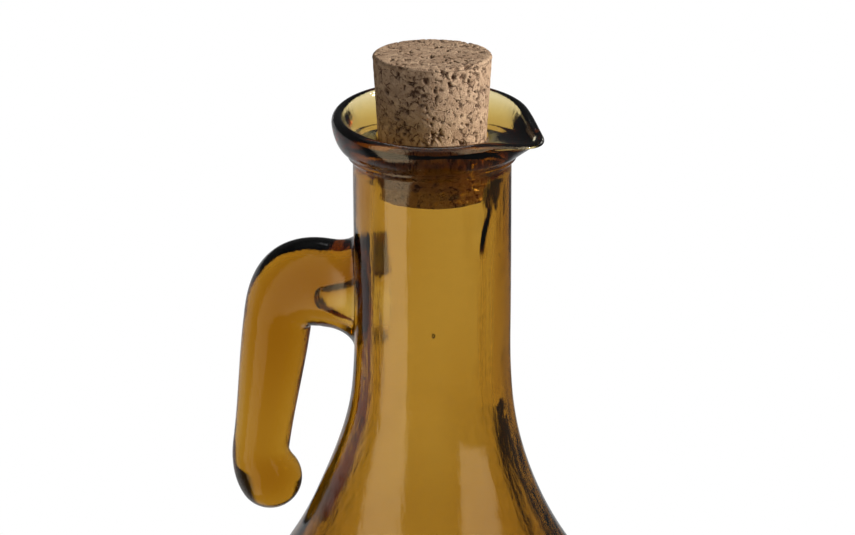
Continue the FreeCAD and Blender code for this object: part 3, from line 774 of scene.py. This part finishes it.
def amber_glass(finish):
    """Clear glass coloured through its depth, with faint lines drawn down it, and its reflections dimmed on the
    handle as painted shade.
    """
    material, tree = nodes_of("amber_glass")
    link = tree.links.new
    output = add(tree, "ShaderNodeOutputMaterial")
    shader = add(tree, "ShaderNodeBsdfPrincipled")
    put(shader, Base_Color=(1, 1, 1, 1), Roughness=0.0, IOR=1.5, Transmission_Weight=1.0)
    absorb = add(tree, "ShaderNodeVolumeAbsorption")
    put(absorb, Color=(*finish.glass, 1), Density=finish.depth)
    place = add(tree, "ShaderNodeTexCoord")
    lines = add(tree, "ShaderNodeMapping")
    put(lines, Scale=(1.0, 1.0, 0.05))
    streaks = add(tree, "ShaderNodeTexNoise")
    put(streaks, Scale=900.0, Detail=3.0, Roughness=0.6)
    waves = add(tree, "ShaderNodeTexNoise")
    put(waves, Scale=70.0, Detail=2.0, Roughness=0.5)
    join = add(tree, "ShaderNodeMath", operation="MULTIPLY_ADD")
    join.inputs[1].default_value = 0.13
    bump = add(tree, "ShaderNodeBump")
    put(bump, Strength=0.8, Distance=0.0005)
    link(place.outputs["Object"], lines.inputs["Vector"])
    link(lines.outputs["Vector"], streaks.inputs["Vector"])
    link(place.outputs["Object"], waves.inputs["Vector"])
    link(streaks.outputs["Fac"], join.inputs[0])
    link(waves.outputs["Fac"], join.inputs[2])
    link(join.outputs["Value"], bump.inputs["Height"])
    link(bump.outputs["Normal"], shader.inputs["Normal"])
    # Painted shade: Specular Tint goes from 1 down to 0.25 between 19 and 24 mm out on the handle's side, so the
    # handle's reflections are painted dimmer.
    out = add(tree, "ShaderNodeSeparateXYZ")
    link(place.outputs["Object"], out.inputs["Vector"])
    bright = level_between(tree, out.outputs["X"], -24 * MM, -19 * MM)
    bright = join_values(tree, "ADD", join_values(tree, "MULTIPLY", bright, 0.75), 0.25)
    link(bright, shader.inputs["Specular Tint"])
    link(shader.outputs["BSDF"], output.inputs["Surface"])
    link(absorb.outputs["Volume"], output.inputs["Volume"])
    return material


class BOTTLE_OT_glass(bpy.types.Operator):
    """Makes the glass: the turned walls and lip, the handle and the pocket at its root"""

    bl_idname = "oil_bottle.glass"
    bl_label = "Glass bottle"

    def execute(self, context):
        sizes = context.scene.oil_bottle
        piece, handle_patch, pocket_patch, bore_at = turn_walls(sizes)
        mark_patches(piece, handle_patch, pocket_patch, sizes.walls)
        draw_handle(piece, sizes)
        press_pocket(piece, sizes, bore_at)
        bpy.ops.mesh.select_all(action="SELECT")
        bpy.ops.mesh.normals_make_consistent(inside=False)
        add_bubbles(sizes.walls)
        bpy.ops.object.mode_set(mode="OBJECT")
        bpy.ops.object.shade_smooth()
        for name in ("turn", "across", "along", "handle_patch", "pocket_patch"):
            piece.data.attributes.remove(piece.data.attributes[name])
        if not piece.data.polygons:
            raise RuntimeError("the glass has no faces")
        piece.data.materials.append(amber_glass(sizes.finish))
        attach(piece, "root")
        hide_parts("bottle")
        return {"FINISHED"}


def pressed_cork(finish):
    """Granules of several browns, pressed together, with dark seams, and open pits coloured dark as painted shade.
    """
    material, tree = nodes_of("pressed_cork")
    link = tree.links.new
    output = add(tree, "ShaderNodeOutputMaterial")
    shader = add(tree, "ShaderNodeBsdfPrincipled")
    put(shader, Roughness=0.9)
    shader.inputs["Specular IOR Level"].default_value = 0.25
    place = add(tree, "ShaderNodeTexCoord").outputs["Object"]
    ragged = add(tree, "ShaderNodeTexNoise")
    put(ragged, Scale=1100.0, Detail=4.0, Roughness=0.6)
    spread = add(tree, "ShaderNodeVectorMath", operation="MULTIPLY_ADD")
    spread.inputs[1].default_value = (0.0012, 0.0012, 0.0012)
    link(place, ragged.inputs["Vector"])
    link(ragged.outputs["Color"], spread.inputs[0])
    link(place, spread.inputs[2])

    def granules(scale, feature):
        node = add(tree, "ShaderNodeTexVoronoi", feature=feature)
        put(node, Scale=scale)
        link(spread.outputs["Vector"], node.inputs["Vector"])
        return node

    def cloud(scale, low, high, detail=4.0):
        node = add(tree, "ShaderNodeTexNoise")
        put(node, Scale=scale, Detail=detail, Roughness=0.65)
        link(place, node.inputs["Vector"])
        return level_between(tree, node.outputs["Fac"], low, high)

    large = add(tree, "ShaderNodeSeparateColor")
    link(granules(430.0, "F1").outputs["Color"], large.inputs["Color"])
    small = add(tree, "ShaderNodeSeparateColor")
    link(granules(1150.0, "F1").outputs["Color"], small.inputs["Color"])
    fine = cloud(2600.0, 0.3, 0.7)
    tone = join_values(tree, "MULTIPLY", large.outputs["Red"], 0.42)
    tone = join_values(tree, "ADD", tone, join_values(tree, "MULTIPLY", small.outputs["Red"], 0.36))
    tone = join_values(tree, "ADD", tone, join_values(tree, "MULTIPLY", fine, 0.34))
    grains = add(tree, "ShaderNodeMix", data_type="RGBA")
    grains.inputs["A"].default_value = (*finish.granule_dark, 1)
    grains.inputs["B"].default_value = (*finish.granule_light, 1)
    link(tone, grains.inputs["Factor"])
    seam = level_between(tree, granules(430.0, "DISTANCE_TO_EDGE").outputs["Distance"], 0.07, 0.015)
    seam = join_values(tree, "MULTIPLY", seam, cloud(520.0, 0.47, 0.58))
    speck = join_values(tree, "MULTIPLY", cloud(1500.0, 0.56, 0.63), cloud(260.0, 0.44, 0.62, 2.0))
    # Painted shade: the pit depth darkens the colour towards the seam colour inside the pits.
    pit = add(tree, "ShaderNodeAttribute", attribute_name="pit").outputs["Fac"]
    seams_specks_and_pit_shade = join_values(tree, "MAXIMUM", join_values(tree, "MULTIPLY", seam, 0.9), speck)
    seams_specks_and_pit_shade = join_values(tree, "MAXIMUM", seams_specks_and_pit_shade, pit)
    whole = add(tree, "ShaderNodeMix", data_type="RGBA")
    whole.inputs["B"].default_value = (*finish.seam, 1)
    link(grains.outputs["Result"], whole.inputs["A"])
    link(seams_specks_and_pit_shade, whole.inputs["Factor"])
    link(whole.outputs["Result"], shader.inputs["Base Color"])
    height = join_values(tree, "SUBTRACT", join_values(tree, "MULTIPLY", fine, 0.5), seams_specks_and_pit_shade)
    bump = add(tree, "ShaderNodeBump")
    put(bump, Strength=0.8, Distance=0.0003)
    link(height, bump.inputs["Height"])
    link(bump.outputs["Normal"], shader.inputs["Normal"])
    link(shader.outputs["BSDF"], output.inputs["Surface"])
    return material


def pit_at(place):
    """How deep a pit is at a place on the cork, from 0 to 1; the same value paints shade into the pit's colour."""
    ragged = place + noise.noise_vector(place * 1300) * 0.45 * MM
    cells = noise.voronoi(ragged * 430)[0]
    crack = 1 - smooth(cells[1] - cells[0], 0.02, 0.12)
    where = smooth(noise.noise(place * 420 + Vector((7, 3, 5))), 0.18, 0.4)
    hole = smooth(noise.noise(ragged * 1100 + Vector((4, 4, 2))), 0.24, 0.46)
    spots = smooth(noise.noise(place * 190 + Vector((1, 9, 4))), -0.08, 0.22)
    return max(crack * where, hole * spots)


class BOTTLE_OT_cork(bpy.types.Operator):
    """Makes the cork, with open pits and slightly uneven granules"""

    bl_idname = "oil_bottle.cork"
    bl_label = "Cork"

    def execute(self, context):
        sizes = context.scene.oil_bottle
        cork = sizes.cork
        step = cork.spacing
        low = CORK_LOW.z
        high = CORK_HIGH.z
        edge = cork.edge
        lean = math.atan2(cork.top_radius - cork.foot_radius, high - low)
        path = chain(
            run((0.6 * MM, low), (cork.foot_radius - edge, low), 2 * step),
            arc((cork.foot_radius - edge, low + edge), edge, -QUARTER, -lean, step),
            run((cork.foot_radius + edge * math.tan(lean), low + edge),
                (cork.top_radius - edge * math.tan(lean), high - edge), step),
            arc((cork.top_radius - edge, high - edge), edge, -lean, QUARTER, step),
            run((cork.top_radius - edge, high), (0.6 * MM, high), step),
        )
        columns = round(2 * math.pi * cork.top_radius / step)
        bpy.ops.object.select_all(action="DESELECT")
        bpy.ops.mesh.primitive_circle_add(vertices=columns, radius=path[0][0], fill_type="TRIFAN",
                                          location=(0, 0, path[0][1]))
        piece = context.object
        piece.name = "cork_stopper"
        bpy.ops.object.transform_apply(location=True, rotation=False, scale=False)
        edit(piece)
        start_ring(piece, path[0][0])
        for radius, height in path[1:]:
            def place(turn, radius=radius, height=height):
                return Vector((radius * math.cos(turn), radius * math.sin(turn), height))
            extrude_ring(piece, place)
        close_ring(piece)
        bpy.ops.mesh.select_all(action="SELECT")
        bpy.ops.mesh.normals_make_consistent(inside=False)
        bpy.ops.object.mode_set(mode="OBJECT")
        piece.data.attributes.remove(piece.data.attributes["turn"])
        # Stored for the material, which uses it to paint shade into the pits.
        pits = piece.data.attributes.new("pit", "FLOAT", "POINT")
        normals = [vertex.normal.copy() for vertex in piece.data.vertices]
        for vertex, normal in zip(piece.data.vertices, normals):
            depth = pit_at(vertex.co)
            pits.data[vertex.index].value = depth
            uneven = 0.5 + 0.5 * noise.noise(vertex.co * 900)
            vertex.co -= normal * (depth * cork.pit_depth + uneven * cork.roughness)
        bpy.ops.object.shade_smooth()
        piece.data.materials.append(pressed_cork(sizes.finish))
        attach(piece, "root")
        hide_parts("cork")
        return {"FINISHED"}


def level_between(tree, value, low, high):
    """A node that goes smoothly from 0 at low to 1 at high."""
    node = add(tree, "ShaderNodeMapRange", interpolation_type="SMOOTHSTEP")
    node.inputs["From Min"].default_value = low
    node.inputs["From Max"].default_value = high
    tree.links.new(value, node.inputs["Value"])
    return node.outputs["Result"]


def join_values(tree, operation, first, second):
    """A Math node of two sockets or numbers."""
    node = add(tree, "ShaderNodeMath", operation=operation)
    for socket, value in zip(node.inputs, (first, second)):
        if isinstance(value, (int, float)):
            socket.default_value = value
        else:
            tree.links.new(value, socket)
    return node.outputs["Value"]


def towards(azimuth, elevation):
    """The direction of a place in the room, azimuth measured round from the front."""
    flat = math.cos(elevation)
    return Vector((flat * math.sin(azimuth), -flat * math.cos(azimuth), math.sin(elevation)))


def panel_mask(tree, direction, azimuth, elevation, half_wide, half_tall, soft):
    """1 in the directions that a square panel fills, and 0 outside it."""
    ahead = towards(azimuth, elevation)
    side = Vector((math.cos(azimuth), math.sin(azimuth), 0))
    above = towards(azimuth, elevation + QUARTER)
    spans = []
    for axis in (ahead, side, above):
        node = add(tree, "ShaderNodeVectorMath", operation="DOT_PRODUCT")
        node.inputs[1].default_value = axis
        tree.links.new(direction, node.inputs[0])
        spans.append(node.outputs["Value"])
    front = join_values(tree, "MAXIMUM", spans[0], 0.0001)
    masks = []
    for value, half in ((spans[1], half_wide), (spans[2], half_tall)):
        size = join_values(tree, "ABSOLUTE", join_values(tree, "DIVIDE", value, front), 0.0)
        masks.append(level_between(tree, size, half * (1 + soft), half * (1 - soft)))
    both = join_values(tree, "MULTIPLY", masks[0], masks[1])
    return join_values(tree, "MULTIPLY", both, level_between(tree, spans[0], 0.0, 0.05))


def room_light(tree, parts):
    """Adds up the room's parts: each is a socket or number to start from, or a panel and its brightness."""
    value = parts[0]
    for mask, bright in parts[1:]:
        value = join_values(tree, "ADD", value, join_values(tree, "MULTIPLY", mask, bright))
    return value


def studio_world(stage):
    """What the glass shows of the room: white below and behind, dark at the sides, soft panels in front."""
    world = bpy.data.worlds.new("studio")
    bpy.context.scene.world = world
    world.use_nodes = True
    tree = world.node_tree
    tree.nodes.clear()
    link = tree.links.new
    coords = add(tree, "ShaderNodeTexCoord")
    direction = coords.outputs["Generated"]
    parts = add(tree, "ShaderNodeSeparateXYZ")
    link(direction, parts.inputs["Vector"])
    height = parts.outputs["Z"]
    front = add(tree, "ShaderNodeVectorMath", operation="DOT_PRODUCT")
    front.inputs[1].default_value = towards(stage.azimuth, 0.0)
    link(direction, front.inputs[0])
    below = level_between(tree, height, 0.14, 0.0)
    behind = level_between(tree, front.outputs["Value"], 0.15, -0.35)
    overhead = level_between(tree, height, 0.55, 0.85)
    back = panel_mask(tree, direction, stage.azimuth + math.pi, math.radians(8), 1.0, 0.6, 0.2)
    left = panel_mask(tree, direction, stage.azimuth - math.radians(52), math.radians(0), 0.38, 1.3, 0.15)
    right = panel_mask(tree, direction, stage.azimuth + math.radians(54), math.radians(28), 0.38, 0.5, 0.12)
    ahead = panel_mask(tree, direction, stage.azimuth, math.radians(68), 0.9, 0.30, 0.3)
    side = add(tree, "ShaderNodeVectorMath", operation="DOT_PRODUCT")
    side.inputs[1].default_value = towards(stage.azimuth + QUARTER, 0.0)
    link(direction, side.inputs[0])
    open_side = level_between(tree, side.outputs["Value"], stage.wall_end, stage.wall_start)
    open_left = level_between(tree, side.outputs["Value"], -0.85, -0.6)
    open_left = join_values(tree, "MAXIMUM", open_left, level_between(tree, height, -0.04, -0.14))
    open_side = join_values(tree, "MULTIPLY", open_side, open_left)
    through = join_values(tree, "MULTIPLY", join_values(tree, "MAXIMUM", below, back), open_side)
    through = join_values(tree, "MAXIMUM", through, level_between(tree, height, -0.25, -0.278))
    through = room_light(tree, [through, (overhead, 0.6)])
    through = join_values(tree, "MAXIMUM", through, stage.sides)
    mirror = join_values(tree, "MULTIPLY", join_values(tree, "MULTIPLY", below, behind), 0.5)
    mirror = join_values(tree, "MULTIPLY", mirror, level_between(tree, side.outputs["Value"], 0.45, 0.1))
    mirror = room_light(tree, [mirror, (ahead, 0.3), (overhead, 0.25)])
    mirror = join_values(tree, "MAXIMUM", mirror, stage.sides * 2)
    windows = room_light(tree, [0.0, (left, 2.5), (right, 2.3)])
    rays = add(tree, "ShaderNodeLightPath")
    shaders = []
    for value, tint in ((0.19, WHITE), (mirror, WHITE), (windows, WARM), (through, WHITE), (1.0, WHITE)):
        shader = add(tree, "ShaderNodeBackground")
        put(shader, Color=tint)
        if isinstance(value, float):
            put(shader, Strength=value)
        else:
            link(value, shader.inputs["Strength"])
        shaders.append(shader.outputs["Background"])
    both = add(tree, "ShaderNodeAddShader")
    link(shaders[1], both.inputs[0])
    link(shaders.pop(2), both.inputs[1])
    shaders[1] = both.outputs["Shader"]
    shown = shaders[0]
    for ray, shader in zip(("Is Glossy Ray", "Is Transmission Ray", "Is Camera Ray"), shaders[1:]):
        choose = add(tree, "ShaderNodeMixShader")
        link(rays.outputs[ray], choose.inputs[0])
        link(shown, choose.inputs[1])
        link(shader, choose.inputs[2])
        shown = choose.outputs["Shader"]
    output = add(tree, "ShaderNodeOutputWorld")
    link(shown, output.inputs["Surface"])


def pale_floor(reach):
    """Matt white near the bottle, where it takes the shadow, and plain white further off, where light that
    comes through the glass goes on into the room."""
    material, tree = nodes_of("pale_floor")
    link = tree.links.new
    output = add(tree, "ShaderNodeOutputMaterial")
    matt = add(tree, "ShaderNodeBsdfDiffuse")
    put(matt, Color=(0.86, 0.86, 0.86, 1))
    glow = add(tree, "ShaderNodeEmission")
    put(glow, Color=(1, 1, 1, 1))
    near = add(tree, "ShaderNodeAddShader")
    white = add(tree, "ShaderNodeEmission")
    put(white, Color=WHITE)
    place = add(tree, "ShaderNodeTexCoord")
    away = add(tree, "ShaderNodeVectorMath", operation="LENGTH")
    link(place.outputs["Object"], away.inputs[0])
    far = level_between(tree, away.outputs["Value"], reach * 0.4, reach)
    rays = add(tree, "ShaderNodeLightPath")
    through = rays.outputs["Is Transmission Ray"]
    seen = join_values(tree, "MAXIMUM", rays.outputs["Is Camera Ray"], through)
    link(join_values(tree, "MULTIPLY", seen, 0.44), glow.inputs["Strength"])
    link(matt.outputs["BSDF"], near.inputs[0])
    link(glow.outputs["Emission"], near.inputs[1])
    clear = add(tree, "ShaderNodeBsdfTransparent")
    beyond = add(tree, "ShaderNodeMixShader")
    link(through, beyond.inputs[0])
    link(white.outputs["Emission"], beyond.inputs[1])
    link(clear.outputs["BSDF"], beyond.inputs[2])
    both = add(tree, "ShaderNodeMixShader")
    link(join_values(tree, "MULTIPLY", seen, far), both.inputs[0])
    link(near.outputs["Shader"], both.inputs[1])
    link(beyond.outputs["Shader"], both.inputs[2])
    link(both.outputs["Shader"], output.inputs["Surface"])
    return material


def add_lamp(name, azimuth, elevation, distance, size, power, aim):
    """A soft lamp that looks at aim; the camera doesn't see it."""
    place = aim + towards(azimuth, elevation) * distance
    bpy.ops.object.light_add(type="AREA", location=place)
    lamp = bpy.context.object
    lamp.name = name
    lamp.rotation_euler = (aim - place).to_track_quat("-Z", "Y").to_euler()
    lamp.data.size = size
    lamp.data.energy = power
    lamp.visible_camera = False
    return lamp


class BOTTLE_OT_stage(bpy.types.Operator):
    """Makes the floor, the light and the camera"""

    bl_idname = "oil_bottle.stage"
    bl_label = "Stage"

    def execute(self, context):
        stage = context.scene.oil_bottle.stage
        walls = context.scene.oil_bottle.walls
        bpy.ops.object.select_all(action="DESELECT")
        bpy.ops.mesh.primitive_circle_add(vertices=96, radius=3.0, fill_type="NGON")
        floor = context.object
        floor.name = "floor"
        floor.data.materials.append(pale_floor(0.17))
        floor.visible_glossy = False
        studio_world(stage)
        neck = Vector((0, 0, walls.neck_top))
        add_lamp("key_lamp", stage.azimuth + math.radians(80), math.radians(24), 1.1, 0.2, 20.0, neck)
        top_lamp = add_lamp("top_lamp", stage.azimuth + math.pi, math.radians(70), 1.1, 0.6, 1.5, neck)
        top_lamp.visible_transmission = False
        back = towards(stage.azimuth, stage.elevation)
        right = Vector((math.cos(stage.azimuth), math.sin(stage.azimuth), 0))
        above = back.cross(right)
        place = neck + back * stage.distance
        aim = neck - right * stage.aim_left - above * stage.aim_down
        bpy.ops.object.camera_add(location=place)
        camera = context.object
        camera.name = "camera"
        camera.rotation_euler = (aim - place).to_track_quat("-Z", "Y").to_euler()
        camera.data.lens = stage.lens
        camera.data.sensor_width = 36.0
        context.scene.camera = camera
        context.scene.view_settings.view_transform = "Standard"
        cycles = context.scene.cycles
        cycles.max_bounces = 32
        cycles.transmission_bounces = 32
        cycles.glossy_bounces = 16
        cycles.diffuse_bounces = 4
        cycles.caustics_reflective = True
        cycles.caustics_refractive = True
        cycles.blur_glossy = 0.3
        return {"FINISHED"}


class BOTTLE_PT_sidebar(bpy.types.Panel):
    """Lists the bottle's pieces"""

    bl_idname = "BOTTLE_PT_sidebar"
    bl_label = "Oil Bottle"
    bl_space_type = "VIEW_3D"
    bl_region_type = "UI"
    bl_category = "Oil Bottle"

    def draw(self, context):
        for operator in PIECES:
            self.layout.operator(operator.bl_idname)


PIECES = (BOTTLE_OT_glass, BOTTLE_OT_cork, BOTTLE_OT_stage)
GROUPS = (WallSizes, LipSizes, HandleSizes, CorkSizes, FinishColours, StageSizes, OilBottle)


def register():
    for group in GROUPS + PIECES + (BOTTLE_PT_sidebar,):
        bpy.utils.register_class(group)
    bpy.types.Scene.oil_bottle = PointerProperty(type=OilBottle)


def unregister():
    del bpy.types.Scene.oil_bottle
    for group in reversed(GROUPS + PIECES + (BOTTLE_PT_sidebar,)):
        bpy.utils.unregister_class(group)


def main():
    register()
    bpy.ops.oil_bottle.glass()
    bpy.ops.oil_bottle.cork()
    bpy.ops.oil_bottle.stage()


if __name__ == "__main__":
    main()
